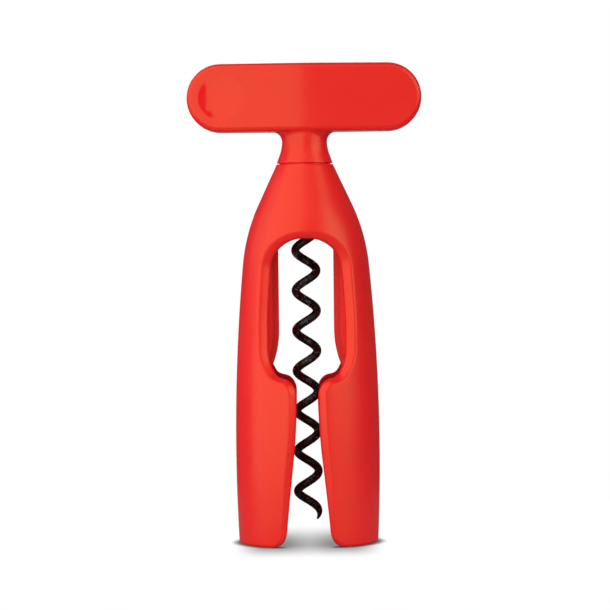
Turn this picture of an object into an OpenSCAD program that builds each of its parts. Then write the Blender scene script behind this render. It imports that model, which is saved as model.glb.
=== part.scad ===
// Self-pulling corkscrew: a bell body with two legs, and a T handle that turns a worm in it.
// The axis of the worm is Z, the feet of the legs stand on Z = 0, and the handle lies along X.

/* [Body] */
// Height of the bell body, from the feet to the top of the neck
body_h = 138.2; // [128:0.1:148]
// Radius of the neck at the top of the body
neck_r = 10.3; // [10.2:0.1:11.6]
// Angle between the cone below the neck and the axis
cone_angle = 25; // [22:0.1:28]
// Radius of the arc that turns the cone into the side
shoulder_r = 67; // [50:1:80]
// Radius of the long arc of the side
side_arc_r = 690; // [500:10:800]
// Largest radius of the body
belly_r = 26.3; // [25.5:0.1:28]
// Height of the largest radius
belly_z = 35; // [20:0.5:45]
// Thickness of the wall, measured across the axis
wall = 3.8; // [2.6:0.1:4.4]
// Width of the bevelled edge at the feet
foot_bevel = 0.6; // [0.4:0.1:1.5]

/* [Window and slot] */
// Distance from the top of the body down to the crown of the window
crown_drop = 27.1; // [24:0.1:32]
// Half width of the window at the foot of its arch
arch_half_w = 12; // [11:0.1:13]
// Radius of the arch
arch_r = 11.2; // [8:0.1:11.6]
// Largest half width of the window
window_half_w = 13.95; // [13.4:0.05:14.6]
// Height at which the window reaches its largest half width
window_wide_z = 83.5; // [80:0.5:88]
// Radius of the bend at that height
window_bend_r = 150; // [60:5:200]
// Height at which the sides of the window start to close in
window_close_z = 67.9; // [67.2:0.1:69]
// Radius of the bend where they close in
window_close_r = 17; // [8:0.5:18]
// Half width at the outer end of a leg's shoulder
ledge_half_w = 11.05; // [10.4:0.05:11.6]
// Height of the outer end of a leg's shoulder
ledge_z = 61.7; // [60.5:0.1:62.5]
// Fall of the shoulder towards the slot
ledge_fall = 2.75; // [2:0.05:3.5]
// Radius of the hollow at the outer end of the shoulder
ledge_r = 4.5; // [2:0.1:5]
// Radius of the leg's corner at the top of the slot
leg_corner_r = 6; // [4:0.1:6.4]
// Half width of the slot at its narrowest
slot_half_w = 3.9; // [3.4:0.05:4.3]
// Height at which the slot starts to widen
slot_neck_z = 43.3; // [40:0.1:44]
// Radius of the bend where the slot starts to widen
slot_bend_r = 200; // [60:5:210]
// Half width of the slot at the feet
slot_foot_half_w = 8.4; // [7.6:0.1:8.8]
// Radius of the leg's corner at the feet
foot_corner_r = 6.5; // [3:0.1:7]

/* [Ribs inside the legs] */
// Radius of the seat for the bottle's neck
bottle_r = 15.75; // [15.2:0.05:16.5]
// Height of the stop that lands on the bottle's rim
bottle_stop_z = 58; // [54:0.5:62]
// Height and width of the lead-in at the feet
bottle_lead = 2.5; // [1:0.1:3.5]
// Thickness of a rib
rib_t = 2.4; // [1.6:0.1:3]
// Spacing between neighbouring ribs
rib_pitch = 5.6; // [4.5:0.1:6]
// Distance from the axis to the edge of the middle rib, which grips the cork
cork_grip_x = 10.05; // [9.8:0.05:11]
// How far the side ribs stand back from the middle rib
side_rib_back = 2.2; // [1:0.1:2.6]
// Distance from the axis to the start of the middle rib's lead-in
cork_lead_x = 13.1; // [12:0.1:13.3]
// Height above the stop at which the lead-in starts
cork_lead_start = 5.5; // [3:0.5:8]
// Height of the lead-in, which is an arc
cork_lead_h = 14.3; // [8:0.1:16]

/* [Bearing] */
// Length of the bearing in the neck
bearing_l = 17.7; // [14:0.1:19]
// Thickness of solid plastic at the top of the neck
neck_solid = 11.9; // [8:0.1:12]
// Radius of the spindle's journal
journal_r = 5.9; // [5.5:0.05:6.1]
// Wall of the bush
bush_wall = 1.5; // [1.2:0.1:1.8]
// Wall of the tube that holds the bush
tube_wall = 2.4; // [1.8:0.1:2.6]
// Radius of the bush's flange
flange_r = 8.8; // [8.4:0.1:9.2]
// Thickness of the bush's flange
flange_t = 1.2; // [0.8:0.1:1.6]
// Radius of the thrust washer between body and handle
thrust_washer_r = 9.2; // [8:0.1:9.4]
// Thickness of the thrust washer
thrust_washer_t = 0.4; // [0.3:0.05:1]
// Radius of the washer under the bearing
lower_washer_r = 9; // [8.6:0.1:9.6]
// Thickness of the washer under the bearing
lower_washer_t = 1; // [0.6:0.1:1.4]
// Outer radius of the retaining ring
ring_r = 8; // [7.4:0.1:8.6]
// Thickness of the retaining ring
ring_t = 1; // [0.8:0.1:1.2]
// Angle of the retaining ring's opening
ring_gap_angle = 70; // [40:1:90]
// Depth of the ring's groove in the spindle
groove_d = 0.9; // [0.6:0.1:1.2]
// Length of spindle below the groove
spindle_tail = 1.5; // [1:0.1:2]

/* [Worm] */
// Diameter of the coated wire
wire_d = 3.04; // [2.8:0.02:3.2]
// Outer diameter of the worm
worm_d = 10.7; // [9.6:0.1:10.8]
// Rise of the worm in one turn
worm_pitch = 14.7; // [12:0.1:16]
// Height of the worm's lower end above the feet, without the fall of its point
tip_z = 9.1; // [5:0.1:15]
// Fall of the ground point below the helix
point_drop = 0.85; // [0.2:0.05:1.5]
// Angle over which the worm tapers to its point
taper_angle = 95; // [60:1:140]
// Height over which the worm runs in to the axis
run_in_h = 5.4; // [5:0.1:8]
// Bend radius of the wire in the spindle's head
wire_bend_r = 3.2; // [3:0.1:4]
// Reach of the bent end of the wire from the axis
wire_leg = 8.6; // [7:0.1:10]

/* [Handle] */
// Length of the bar
bar_l = 85.6; // [76:0.2:100]
// Height of the bar
bar_h = 24.75; // [22:0.05:28]
// Thickness of the bar at its middle
bar_t = 19; // [17:0.2:22]
// Thickness of the bar at its ends
bar_end_t = 11.6; // [10.6:0.2:14]
// Half width of the flattened ridge at the middle
ridge_half_w = 3.6; // [2:0.1:6]
// Fall of the flattened ridge towards its edges
ridge_fall = 0.17; // [0.05:0.01:0.3]
// Radius of the bar's round edges
bar_edge_r = 2; // [1.6:0.1:3]
// Wall of the handle shells
shell_wall = 2.6; // [2:0.1:3]
// Half length of the solid middle of the shells
core_half_l = 17; // [15.5:0.5:22]
// Radius of the thumb dish
dish_r = 8.3; // [6:0.1:9]
// Depth of the thumb dish
dish_d = 0.7; // [0.4:0.1:1.6]
// Height of the stem under the bar
stem_h = 11.4; // [10.5:0.1:14]
// Radius of the stem at its foot
stem_foot_r = 10.2; // [9.6:0.1:10.4]
// Radius of the stem at its waist
stem_waist_r = 8.2; // [7.8:0.1:8.8]
// Height of the cone at the stem's foot
stem_cone_h = 5.5; // [4:0.1:6.5]
// Radius of the hollow between the stem and the bar
stem_fillet_r = 4; // [3:0.1:4.4]

/* [Spindle head and pegs] */
// Length of the spindle's head, along the bar
head_l = 20; // [19:0.5:24]
// Width of the spindle's head, across the bar
head_w = 10.6; // [9:0.2:12]
// Height of the spindle's head
head_h = 11; // [9:0.5:13]
// Radius of the pegs that line up the shells
peg_r = 1.4; // [1:0.1:1.6]
// Length of the pegs
peg_l = 4; // [2:0.2:5]
// Distance from a peg to the side of the spindle's head
peg_side = 3.4; // [3:0.1:4]
// Distance between the upper and the lower pegs
peg_rise = 10; // [6:0.5:12]

/* [Clearances] */
// Radial clearance of the running journal
running_c = 0.05; // [0.02:0.01:0.09]
// Clearance of pieces that seat in each other
seat_c = 0.04; // [0.02:0.01:0.06]
// Axial clearance of the turning pieces
end_float = 0.15; // [0.05:0.01:0.3]

/* [Hidden] */
$fn = 96;
eps = 0.5;
red = [0.93, 0.20, 0.15];
black = [0.07, 0.06, 0.06];
steel = [0.72, 0.73, 0.74];
ivory = [0.90, 0.88, 0.82];

// Profile of the bell: a cone, a shoulder arc that touches it, and the long arc of the side
neck_point = [neck_r, body_h];
cone_dir = [sin(cone_angle), -cos(cone_angle)];
cone_in = [-cos(cone_angle), -sin(cone_angle)];
side_centre = [belly_r - side_arc_r, belly_z];
shoulder_line = neck_point + shoulder_r * cone_in - side_centre;
line_along = shoulder_line * cone_dir;
line_root = sqrt(pow(line_along, 2) - shoulder_line * shoulder_line + pow(side_arc_r - shoulder_r, 2));
shoulder_centre = side_centre + shoulder_line + (line_root - line_along) * cone_dir;
cone_foot = shoulder_centre - shoulder_r * cone_in;
touch_dir = (shoulder_centre - side_centre) / norm(shoulder_centre - side_centre);
side_top = side_centre + side_arc_r * touch_dir;

function arc_r(c, r, z) = c[0] + sqrt(pow(r, 2) - pow(z - c[1], 2));
function bell_r(z) =
    z > cone_foot[1] ? neck_r + (body_h - z) * tan(cone_angle)
    : z > side_top[1] ? arc_r(shoulder_centre, shoulder_r, z)
    : arc_r(side_centre, side_arc_r, z);

// Heights along the profile: few on the long side, more on the shoulder, one step on the cone
side_steps = 16;
shoulder_steps = 10;
function bell_heights(low, high) = [
    low,
    for (i = [1 : side_steps]) let (z = side_top[1] * i / side_steps) if (z > low && z < high) z,
    for (i = [1 : shoulder_steps])
        let (z = side_top[1] + (cone_foot[1] - side_top[1]) * i / shoulder_steps)
        if (z > low && z < high) z,
    high
];
function bell_profile(low, high, inset) =
    [for (z = bell_heights(low, high)) [bell_r(z) - inset, z]];

// Places that several pieces share
bush_r = journal_r + running_c + bush_wall;
tube_r = bush_r + seat_c + tube_wall;
bearing_z = body_h - bearing_l;
pocket_z = body_h - neck_solid;
lower_washer_z = bearing_z - lower_washer_t;
ring_z = lower_washer_z - end_float - ring_t;
spindle_z = ring_z - spindle_tail;
groove_r = journal_r - groove_d;
stem_z = body_h + thrust_washer_t + end_float;
bar_bottom_z = stem_z + stem_h;
bar_z = bar_bottom_z + bar_h / 2;
head_z = bar_bottom_z + shell_wall;
wire_r = wire_d / 2;
wire_hole_r = wire_r + seat_c;

// Outline of the window and the slot, from the crown down to the feet, as corners with a radius
window_top = body_h - crown_drop;
below_feet = -0.4;
arc_step = 9;
window_half = [
    [arch_half_w, window_top, arch_r],
    [window_half_w, window_wide_z, window_bend_r],
    [window_half_w, window_close_z, window_close_r],
    [ledge_half_w, ledge_z, ledge_r],
    [slot_half_w, ledge_z - ledge_fall, leg_corner_r],
    [slot_half_w, slot_neck_z, slot_bend_r],
    [slot_foot_half_w, below_feet, foot_corner_r],
    [belly_r + eps, below_feet, 0]
];

function xy(p) = [p[0], p[1]];
function unit(v) = v / norm(v);
function turn_of(u, w) = atan2(u[0] * w[1] - u[1] * w[0], u * w);
function rounded_corner(a, b, c, r) =
    let (u = unit(a - b), w = unit(c - b), half = acos(u * w) / 2)
    let (centre = b + unit(u + w) * r / sin(half), start = b + u * r / tan(half) - centre)
    let (sweep = turn_of(start, b + w * r / tan(half) - centre), steps = max(2, ceil(abs(sweep) / arc_step)))
    [for (i = [0 : steps])
        let (t = sweep * i / steps)
        centre + [start[0] * cos(t) - start[1] * sin(t), start[0] * sin(t) + start[1] * cos(t)]];
function rounded_path(first, corners) = [
    for (i = [0 : len(corners) - 1])
        let (before = i == 0 ? first : xy(corners[i - 1]), here = xy(corners[i]))
        each corners[i][2] == 0 || i == len(corners) - 1
            ? [here]
            : rounded_corner(before, here, xy(corners[i + 1]), corners[i][2])
];
window_right = rounded_path([0, window_top], window_half);

module window_outline() {
    right = concat(window_right, [[belly_r + eps, below_feet - eps]]);
    left = [for (i = [len(right) - 1 : -1 : 0]) [-right[i][0], right[i][1]]];
    polygon(concat(right, left));
}

module upright(depth) {
    rotate([90, 0, 0]) linear_extrude(height = depth, center = true) children();
}

// Bell body with its legs

module bell_solid() {
    edge = [[0, 0], [bell_r(0) - foot_bevel, 0]];
    rotate_extrude() polygon(concat(edge, bell_profile(foot_bevel, body_h, 0), [[0, body_h]]));
}

module bell_cavity() {
    inside = bell_profile(-eps, pocket_z, wall);
    tube = [[tube_r, pocket_z], [tube_r, bearing_z], [0, bearing_z], [0, -eps]];
    rotate_extrude() polygon(concat(inside, tube));
}

// A rib's plate, from the feet to the neck, with the steps for the bottle and the cork
module rib_plate(back) {
    lead_top = bottle_stop_z + cork_lead_start + cork_lead_h;
    lead_w = cork_lead_x - cork_grip_x;
    lead_r = (pow(cork_lead_h, 2) + pow(lead_w, 2)) / (2 * lead_w);
    lead_turn = asin(cork_lead_h / lead_r);
    lead_steps = 8;
    upright(rib_t) polygon([
        [bottle_r + bottle_lead, bottle_lead],
        [bottle_r, 2 * bottle_lead],
        [bottle_r, bottle_stop_z],
        [cork_lead_x + back, bottle_stop_z],
        for (i = [lead_steps : -1 : 0])
            let (t = lead_turn * i / lead_steps)
            [cork_grip_x + back + lead_r * (1 - cos(t)), lead_top - lead_r * sin(t)],
        [cork_grip_x + back, bearing_z],
        [tube_r - tube_wall / 2, bearing_z],
        [tube_r - tube_wall / 2, pocket_z + eps],
        [belly_r, pocket_z + eps],
        [belly_r, bottle_lead]
    ]);
}

module leg_ribs() {
    embed = wall / 2;
    intersection() {
        union() for (turn = [0, 180], i = [-1 : 1]) rotate([0, 0, turn])
            translate([0, i * rib_pitch, 0]) rib_plate(abs(i) * side_rib_back);
        rotate_extrude() polygon(concat(
            [[0, 0]], bell_profile(0, pocket_z + eps, embed), [[0, pocket_z + eps]]));
    }
}

module bell_body() color(red) difference() {
    union() {
        difference() {
            bell_solid();
            bell_cavity();
            upright(4 * belly_r) window_outline();
        }
        difference() {
            leg_ribs();
            translate([0, 0, -eps]) cylinder(r = bottle_r, h = bottle_stop_z + eps);
        }
    }
    translate([0, 0, bearing_z - eps]) cylinder(r = bush_r + seat_c, h = bearing_l + 2 * eps);
    translate([0, 0, body_h - flange_t]) cylinder(r = flange_r + seat_c, h = flange_t + eps);
}

// Bearing pieces

module washer(outer, inner, z, t) {
    translate([0, 0, z]) difference() {
        cylinder(r = outer, h = t);
        translate([0, 0, -eps]) cylinder(r = inner, h = t + 2 * eps);
    }
}

module neck_bush() color(ivory) difference() {
    union() {
        translate([0, 0, bearing_z]) cylinder(r = bush_r, h = bearing_l);
        translate([0, 0, body_h - flange_t]) cylinder(r = flange_r, h = flange_t);
    }
    translate([0, 0, bearing_z - eps]) cylinder(r = journal_r + running_c, h = bearing_l + 2 * eps);
}

module thrust_washer() color(steel)
    washer(thrust_washer_r, journal_r + 2 * running_c, body_h, thrust_washer_t);

module lower_washer() color(steel)
    washer(lower_washer_r, journal_r + 2 * running_c, lower_washer_z, lower_washer_t);

module retaining_ring() color(steel) difference() {
    washer(ring_r, groove_r + seat_c, ring_z, ring_t);
    translate([0, 0, ring_z - eps]) linear_extrude(height = ring_t + 2 * eps) polygon([
        [0, 0],
        2 * ring_r * [-sin(ring_gap_angle / 2), -cos(ring_gap_angle / 2)],
        2 * ring_r * [sin(ring_gap_angle / 2), -cos(ring_gap_angle / 2)]
    ]);
}

// Spindle: journal, groove, head, and the hole and slot for the wire

wire_bend_z = head_z + head_h - wire_r - seat_c - wire_bend_r;

module spindle() color(steel) difference() {
    union() {
        translate([0, 0, spindle_z]) cylinder(r = journal_r, h = head_z - spindle_z + eps);
        translate([-head_l / 2, -head_w / 2, head_z]) cube([head_l, head_w, head_h]);
    }
    washer(journal_r + eps, groove_r, ring_z - seat_c, ring_t + 2 * seat_c);
    translate([0, 0, spindle_z - eps]) cylinder(r = wire_hole_r, h = head_z + head_h - spindle_z + 2 * eps);
    translate([-wire_hole_r, -wire_hole_r, wire_bend_z])
        cube([head_l, 2 * wire_hole_r, head_h]);
}

// Worm: a wire swept along the worm, the run-in, the shank and the bent end

helix_r = (worm_d - wire_d) / 2;
helix_top = spindle_z - run_in_h;
turn_rate = 360 / worm_pitch;
run_in_turn = turn_rate * run_in_h / 2;
helix_step = 20;
helix_turn = turn_rate * (helix_top - tip_z);
helix_steps = ceil(helix_turn / helix_step);
wire_sides = 10;
// Width of the point as a share of the wire, and how far the point leans to the outside
point_share = 0.28;
point_lean = 0.3;

function ease(u) = u * u * (3 - 2 * u);
function taper(turned) = turned >= taper_angle ? 1
    : point_share + (1 - point_share) * sin(90 * turned / taper_angle);
function point_fall(turned) = turned >= taper_angle ? 0 : point_drop * pow(1 - turned / taper_angle, 2);

// Each station is a place, the direction of the wire, a side direction and the wire's radius
function polar(r, a, z) = [r * cos(a), r * sin(a), z];
function helix_station(i) =
    let (turned = helix_turn * i / helix_steps, a = turned - helix_turn - run_in_turn)
    let (r = wire_r * taper(turned), out = helix_r + (wire_r - r) * point_lean)
    [polar(out, a, tip_z + turned / turn_rate - point_fall(turned)),
     unit(polar(helix_r, a + 90, worm_pitch / (2 * PI))), polar(1, a, 0), r];
function run_in_angle(u) = turn_rate * run_in_h * (u - u * u / 2) - run_in_turn;
function run_in_place(u) =
    polar(helix_r * (1 - ease(u)), run_in_angle(u), helix_top + run_in_h * u);
function run_in_station(u) =
    let (du = 0.01, along = unit(run_in_place(u + du) - run_in_place(u - du)))
    [run_in_place(u), along, polar(1, run_in_angle(u), 0), wire_r];
function bend_station(t) =
    [[wire_bend_r * (1 - cos(t)), 0, wire_bend_z + wire_bend_r * sin(t)], [sin(t), 0, cos(t)],
     [cos(t), 0, -sin(t)], wire_r];

run_in_steps = 8;
bend_steps = 6;
worm_stations = concat(
    [for (i = [0 : helix_steps]) helix_station(i)],
    [for (i = [1 : run_in_steps - 1]) run_in_station(i / run_in_steps)],
    [[[0, 0, spindle_z], [0, 0, 1], [1, 0, 0], wire_r]],
    [for (i = [0 : bend_steps]) bend_station(90 * i / bend_steps)],
    [[[wire_leg, 0, wire_bend_z + wire_bend_r], [1, 0, 0], [0, 0, -1], wire_r]]
);

function ring_points(station) =
    let (along = station[1], side = unit(station[2] - (station[2] * along) * along))
    let (other = cross(along, side))
    [for (k = [0 : wire_sides - 1])
        let (a = 360 * k / wire_sides)
        station[0] + station[3] * (cos(a) * side + sin(a) * other)];

module swept_wire(stations) {
    rings = len(stations);
    last = (rings - 1) * wire_sides;
    function at(i, k) = i * wire_sides + k % wire_sides;
    points = [for (s = stations) each ring_points(s)];
    sides = [for (i = [0 : rings - 2], k = [0 : wire_sides - 1]) each [
        [at(i, k), at(i + 1, k), at(i, k + 1)],
        [at(i, k + 1), at(i + 1, k), at(i + 1, k + 1)]]];
    ends = [for (k = [1 : wire_sides - 2]) each [[0, k, k + 1], [last, last + k + 1, last + k]]];
    polyhedron(points, concat(sides, ends));
}

// Least gap between neighbouring turns of the worm
half_turn = floor(180 / helix_step);
turn_gap = min([for (i = [0 : helix_steps - half_turn], j = [i + half_turn : helix_steps])
    norm(helix_station(i)[0] - helix_station(j)[0])]) - wire_d;
echo(worm_turn_gap = turn_gap);

module worm() color(black) swept_wire(worm_stations);

// Handle: two shells that meet on the plane of the axis

bar_end_x = bar_l / 2 - bar_h / 2;
least_edge_r = 0.6;

module bar_envelope(inset) {
    edge = max(bar_edge_r - inset, least_edge_r);
    up = bar_h / 2 - inset - edge;
    ridge = [[0, bar_t / 2], [ridge_half_w, bar_t / 2 - ridge_fall], [-ridge_half_w, bar_t / 2 - ridge_fall]];
    translate([0, 0, bar_z]) hull() {
        for (end = [-1, 1], face = [-1, 1])
            translate([end * bar_end_x, face * (bar_end_t / 2 - inset - edge), 0]) rotate([90, 0, 0])
                rotate_extrude($fn = 40) translate([up, 0]) circle(r = edge, $fn = 16);
        for (p = ridge, face = [-1, 1], side = [-1, 1])
            translate([p[0], face * (p[1] - inset - edge), side * up]) sphere(r = edge, $fn = 16);
    }
}

// Plan of the bar, for the part of the stem that lies under it
module bar_plan(inset) {
    mid = bar_t / 2 - inset;
    end = bar_end_t / 2 - inset;
    x = bar_end_x;
    polygon([[0, -mid], [x, -end], [x, end], [0, mid], [-x, end], [-x, -end]]);
}

module stem() {
    waist_z = bar_bottom_z - stem_fillet_r;
    fillet_steps = 10;
    hollow = [for (i = [0 : fillet_steps])
        let (a = 90 * i / fillet_steps)
        [stem_waist_r + stem_fillet_r * (1 - cos(a)), waist_z + stem_fillet_r * sin(a)]];
    top = bar_bottom_z + shell_wall;
    rotate_extrude() polygon([
        [0, stem_z],
        [stem_foot_r, stem_z],
        [stem_waist_r, stem_z + stem_cone_h],
        [stem_waist_r, top],
        [0, top]
    ]);
    intersection() {
        rotate_extrude() polygon(concat(
            [[0, waist_z]], hollow, [[stem_waist_r + stem_fillet_r, top], [0, top]]));
        translate([0, 0, waist_z]) linear_extrude(height = top - waist_z) bar_plan(bar_edge_r / 2);
    }
}

// Dish for the thumb, in the face that the thumb pushes: front at the left end, back at the right end
module thumb_dishes() {
    ball_r = (dish_r * dish_r + dish_d * dish_d) / (2 * dish_d);
    tilt = atan((bar_t - bar_end_t) / 2 / bar_end_x);
    for (turn = [0, 180]) rotate([0, 0, turn])
        translate([-bar_end_x, -bar_end_t / 2, bar_z]) rotate([0, 0, -tilt])
            translate([0, dish_d - ball_r, 0]) sphere(r = ball_r);
}

module handle_solid() {
    difference() {
        union() {
            bar_envelope(0);
            stem();
        }
        difference() {
            bar_envelope(shell_wall);
            translate([0, 0, bar_z]) cube([2 * core_half_l, 2 * bar_t, 2 * bar_h], center = true);
        }
        thumb_dishes();
        translate([0, 0, stem_z - eps]) cylinder(r = journal_r + seat_c, h = stem_h + 2 * shell_wall);
        translate([-head_l / 2 - seat_c, -head_w / 2 - seat_c, head_z])
            cube([head_l + 2 * seat_c, head_w + 2 * seat_c, head_h + seat_c]);
    }
}

module handle_half(side) {
    size = bar_l + bar_h;
    intersection() {
        handle_solid();
        translate([-size / 2, side > 0 ? 0 : -size, 0]) cube([size, size, 2 * body_h]);
    }
}

peg_x = head_l / 2 + peg_side;

module pegs(clearance) {
    for (sx = [-1, 1], sz = [-1, 1])
        translate([sx * peg_x, -eps, bar_z + sz * peg_rise / 2]) rotate([-90, 0, 0])
            cylinder(r = peg_r + clearance, h = eps + peg_l + clearance);
}

module handle_front_shell() color(red) union() {
    handle_half(-1);
    pegs(0);
}

module handle_rear_shell() color(red) difference() {
    handle_half(1);
    pegs(seat_c);
}

bell_body();
neck_bush();
thrust_washer();
lower_washer();
retaining_ring();
spindle();
worm();
handle_front_shell();
handle_rear_shell();
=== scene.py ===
import math
import bmesh
import bpy
import numpy as np
from mathutils import Matrix, Vector


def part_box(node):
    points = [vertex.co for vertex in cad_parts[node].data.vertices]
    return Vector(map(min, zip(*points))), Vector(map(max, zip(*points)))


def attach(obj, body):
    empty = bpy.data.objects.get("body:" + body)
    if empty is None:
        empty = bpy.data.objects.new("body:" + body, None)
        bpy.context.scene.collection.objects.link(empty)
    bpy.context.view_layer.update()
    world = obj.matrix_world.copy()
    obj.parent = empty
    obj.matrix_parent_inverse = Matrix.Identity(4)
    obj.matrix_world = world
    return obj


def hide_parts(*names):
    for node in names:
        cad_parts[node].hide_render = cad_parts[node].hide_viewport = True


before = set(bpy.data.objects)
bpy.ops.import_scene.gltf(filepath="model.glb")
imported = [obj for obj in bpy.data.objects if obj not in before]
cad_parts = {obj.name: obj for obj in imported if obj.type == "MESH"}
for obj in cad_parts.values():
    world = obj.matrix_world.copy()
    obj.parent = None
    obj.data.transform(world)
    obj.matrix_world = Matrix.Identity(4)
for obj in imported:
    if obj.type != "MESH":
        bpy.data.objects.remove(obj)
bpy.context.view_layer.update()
mm = 0.001  # shapes are worked out in millimetres and scaled once, at the end
print("frame: loaded", len(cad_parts), "nodes")


def heights(node):
    low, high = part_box(node)
    return low.z / mm, high.z / mm


def ease(u):
    u = min(max(u, 0), 1)
    return u * u * (3 - 2 * u)


# Materials

bumpHeight = {"moulded": 0.0001, "steel": 0.00005, "coat": 0.0003}  # metres
noiseSpan = (0.3, 0.7)  # where most of a noise's values lie
waveSpan = (0.1, 0.9)
steelGrainDepth = 0.2


def socketGroup(name, inputs, outputs):
    group = bpy.data.node_groups.new(name, "ShaderNodeTree")
    for socketName, kind, value in inputs:
        made = group.interface.new_socket(socketName, in_out="INPUT", socket_type=kind)
        made.default_value = value
    for socketName, kind in outputs:
        group.interface.new_socket(socketName, in_out="OUTPUT", socket_type=kind)
    return group, group.nodes.new("NodeGroupInput"), group.nodes.new("NodeGroupOutput")


def addNoise(tree, vector, detail, roughness=0.5):
    noise = tree.nodes.new("ShaderNodeTexNoise")
    noise.inputs["Detail"].default_value = detail
    noise.inputs["Roughness"].default_value = roughness
    tree.links.new(vector, noise.inputs["Vector"])
    return noise


def remap(tree, value, low, high, outLow, outHigh, curve="LINEAR"):
    node = tree.nodes.new("ShaderNodeMapRange")
    node.interpolation_type = curve
    for socketName, number in (("From Min", low), ("From Max", high)):
        node.inputs[socketName].default_value = number
    for socketName, number in (("To Min", outLow), ("To Max", outHigh)):
        if isinstance(number, (int, float)):
            node.inputs[socketName].default_value = number
        else:
            tree.links.new(number, node.inputs[socketName])
    tree.links.new(value, node.inputs["Value"])
    return node.outputs["Result"]


def mouldedSkin():
    # fine eroded grain of the mould and slow waves of the melt
    group, given, result = socketGroup(
        "mouldedSkin",
        [("Grain Scale", "NodeSocketFloat", 1800.0), ("Wave Scale", "NodeSocketFloat", 60.0),
         ("Roughness Low", "NodeSocketFloat", 0.35), ("Roughness High", "NodeSocketFloat", 0.5)],
        [("Height", "NodeSocketFloat"), ("Roughness", "NodeSocketFloat"), ("Tone", "NodeSocketFloat")])
    coords = group.nodes.new("ShaderNodeTexCoord").outputs["Object"]
    grain = addNoise(group, coords, detail=2.0)
    group.links.new(given.outputs["Grain Scale"], grain.inputs["Scale"])
    wave = addNoise(group, coords, detail=3.0)
    group.links.new(given.outputs["Wave Scale"], wave.inputs["Scale"])
    group.links.new(grain.outputs["Fac"], result.inputs["Height"])
    rough = remap(group, wave.outputs["Fac"], *waveSpan,
                  given.outputs["Roughness Low"], given.outputs["Roughness High"])
    group.links.new(rough, result.inputs["Roughness"])
    group.links.new(wave.outputs["Fac"], result.inputs["Tone"])
    return group


moulded = mouldedSkin()


def startMaterial(name):
    material = bpy.data.materials.new(name)
    material.use_nodes = True
    tree = material.node_tree
    shader = tree.nodes["Principled BSDF"]
    return material, tree, shader


def mixColours(tree, factor, first, second):
    mix = tree.nodes.new("ShaderNodeMix")
    mix.data_type = "RGBA"
    mix.inputs["A"].default_value = (*first, 1)
    mix.inputs["B"].default_value = (*second, 1)
    tree.links.new(factor, mix.inputs["Factor"])
    return mix.outputs["Result"]


def joinValues(tree, first, second, operation="MAXIMUM"):
    both = tree.nodes.new("ShaderNodeMath")
    both.operation = operation
    tree.links.new(first, both.inputs[0])
    tree.links.new(second, both.inputs[1])
    return both.outputs[0]


def addBump(tree, height, strength, distance):
    bump = tree.nodes.new("ShaderNodeBump")
    bump.inputs["Strength"].default_value = strength
    bump.inputs["Distance"].default_value = distance
    tree.links.new(height, bump.inputs["Height"])
    return bump.outputs["Normal"]


def dishMask(tree, dish):
    # one inside the two thumb dishes, which lie left at the front and right at the back
    coords = tree.nodes.new("ShaderNodeTexCoord").outputs["Object"]
    parts = tree.nodes.new("ShaderNodeSeparateXYZ")
    tree.links.new(coords, parts.inputs[0])
    product = joinValues(tree, parts.outputs["X"], parts.outputs["Y"], "MULTIPLY")
    sided = remap(tree, product, 0, dish["sideStep"], 0, 1)
    last = coords
    for operation, vector in (("ABSOLUTE", None), ("MULTIPLY", (1, 0, 1)), ("DISTANCE", dish["centre"])):
        step = tree.nodes.new("ShaderNodeVectorMath")
        step.operation = operation
        tree.links.new(last, step.inputs[0])
        if vector:
            step.inputs[1].default_value = vector
        last = step.outputs["Value" if operation == "DISTANCE" else "Vector"]
    within = remap(tree, last, dish["radius"] - dish["edge"], dish["radius"], 1, 0)
    return joinValues(tree, within, sided, "MULTIPLY")


def mouldedPlastic(name, look):
    material, tree, shader = startMaterial(name)
    skin = tree.nodes.new("ShaderNodeGroup")
    skin.node_tree = moulded
    skin.inputs["Grain Scale"].default_value = look["grainScale"]
    skin.inputs["Wave Scale"].default_value = look["waveScale"]
    skin.inputs["Roughness Low"].default_value = look["roughness"][0]
    skin.inputs["Roughness High"].default_value = look["roughness"][1]
    tree.links.new(mixColours(tree, skin.outputs["Tone"], look["dark"], look["light"]),
                   shader.inputs["Base Color"])
    rough = skin.outputs["Roughness"]
    if "polish" in look:
        rough = remap(tree, dishMask(tree, look["polish"]), 0, 1, rough, look["polish"]["roughness"])
    tree.links.new(rough, shader.inputs["Roughness"])
    normal = addBump(tree, skin.outputs["Height"], look["grainDepth"], bumpHeight["moulded"])
    tree.links.new(normal, shader.inputs["Normal"])
    shader.inputs["Specular IOR Level"].default_value = look["specular"]
    shader.inputs["Specular Tint"].default_value = (*look.get("tint", (1, 1, 1)), 1)
    return material


def brushedSteel(name, look):
    material, tree, shader = startMaterial(name)
    coords = tree.nodes.new("ShaderNodeTexCoord").outputs["Object"]
    grain = addNoise(tree, coords, detail=4.0)
    grain.inputs["Scale"].default_value = look["grainScale"]
    tree.links.new(mixColours(tree, grain.outputs["Fac"], look["dark"], look["light"]),
                   shader.inputs["Base Color"])
    rough = remap(tree, grain.outputs["Fac"], *noiseSpan, *look["roughness"])
    tree.links.new(rough, shader.inputs["Roughness"])
    normal = addBump(tree, grain.outputs["Fac"], steelGrainDepth, bumpHeight["steel"])
    tree.links.new(normal, shader.inputs["Normal"])
    shader.inputs["Metallic"].default_value = 1
    return material


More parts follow.
